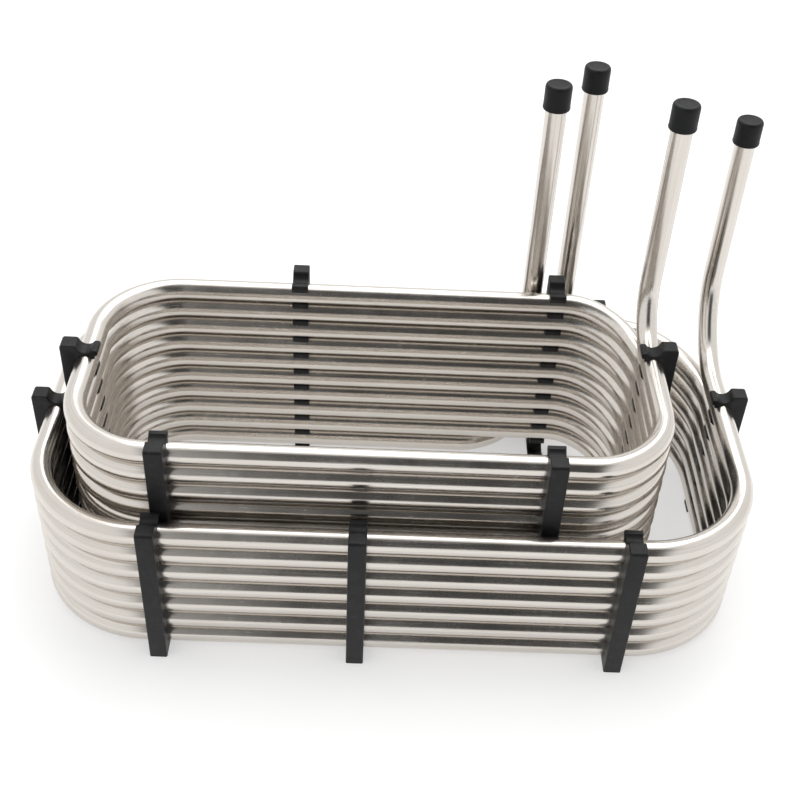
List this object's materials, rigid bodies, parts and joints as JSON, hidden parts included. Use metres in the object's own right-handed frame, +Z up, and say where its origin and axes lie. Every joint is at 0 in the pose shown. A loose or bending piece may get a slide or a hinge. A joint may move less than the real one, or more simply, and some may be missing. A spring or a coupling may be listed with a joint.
{
  "type": "immersion wort chiller",
  "caption": "Nested inner and outer rounded-rectangle coils of stainless tube, held in moulded spacer combs, with upright tube ends under soft caps.",
  "frame": {"origin": "on the floor plane under the middle of the whole chiller's box", "axes": "+X along the coils, towards the corner where the risers stand; +Y from the front to the back, where both bottom ends rise; +Z up"},
  "size_m": [0.3268, 0.1834, 0.208],
  "materials": {
    "tube": "satin, as drawn and bright annealed",
    "comb": "moulded black polypropylene, fine texture",
    "cap": "dip-moulded black vinyl, soft sheen"
  },
  "bodies": {
    "outer_coil": {"outer_coil_tube": "tube", "outer_comb_front_left": "comb", "outer_comb_front_middle": "comb", "outer_comb_front_right": "comb", "outer_comb_back_left": "comb", "outer_comb_back_middle": "comb", "outer_comb_back_right": "comb", "outer_comb_left": "comb", "outer_comb_right": "comb"},
    "inner_coil": {"inner_coil_tube": "tube", "inner_comb_front_left": "comb", "inner_comb_front_right": "comb", "inner_comb_back_left": "comb", "inner_comb_back_right": "comb", "inner_comb_left": "comb", "inner_comb_right": "comb"},
    "inner_top_end_cap": {"inner_top_end_cap": "cap"},
    "inner_bottom_end_cap": {"inner_bottom_end_cap": "cap"},
    "outer_top_end_cap": {"outer_top_end_cap": "cap"},
    "outer_bottom_end_cap": {"outer_bottom_end_cap": "cap"}
  },
  "joints": [
    {"name": "inner_coil_lift", "type": "slide", "parent": "outer_coil", "child": "inner_coil", "axis": [0, 0, 1], "range_m": [0, 0.12]},
    {"name": "inner_top_end_cap_pull", "type": "slide", "parent": "inner_coil", "child": "inner_top_end_cap", "axis": [0, 0, 1], "range_m": [0, 0.03]},
    {"name": "inner_bottom_end_cap_pull", "type": "slide", "parent": "inner_coil", "child": "inner_bottom_end_cap", "axis": [0, 0, 1], "range_m": [0, 0.03]},
    {"name": "outer_top_end_cap_pull", "type": "slide", "parent": "outer_coil", "child": "outer_top_end_cap", "axis": [0, 0, 1], "range_m": [0, 0.03]},
    {"name": "outer_bottom_end_cap_pull", "type": "slide", "parent": "outer_coil", "child": "outer_bottom_end_cap", "axis": [0, 0, 1], "range_m": [0, 0.03]}
  ]
}
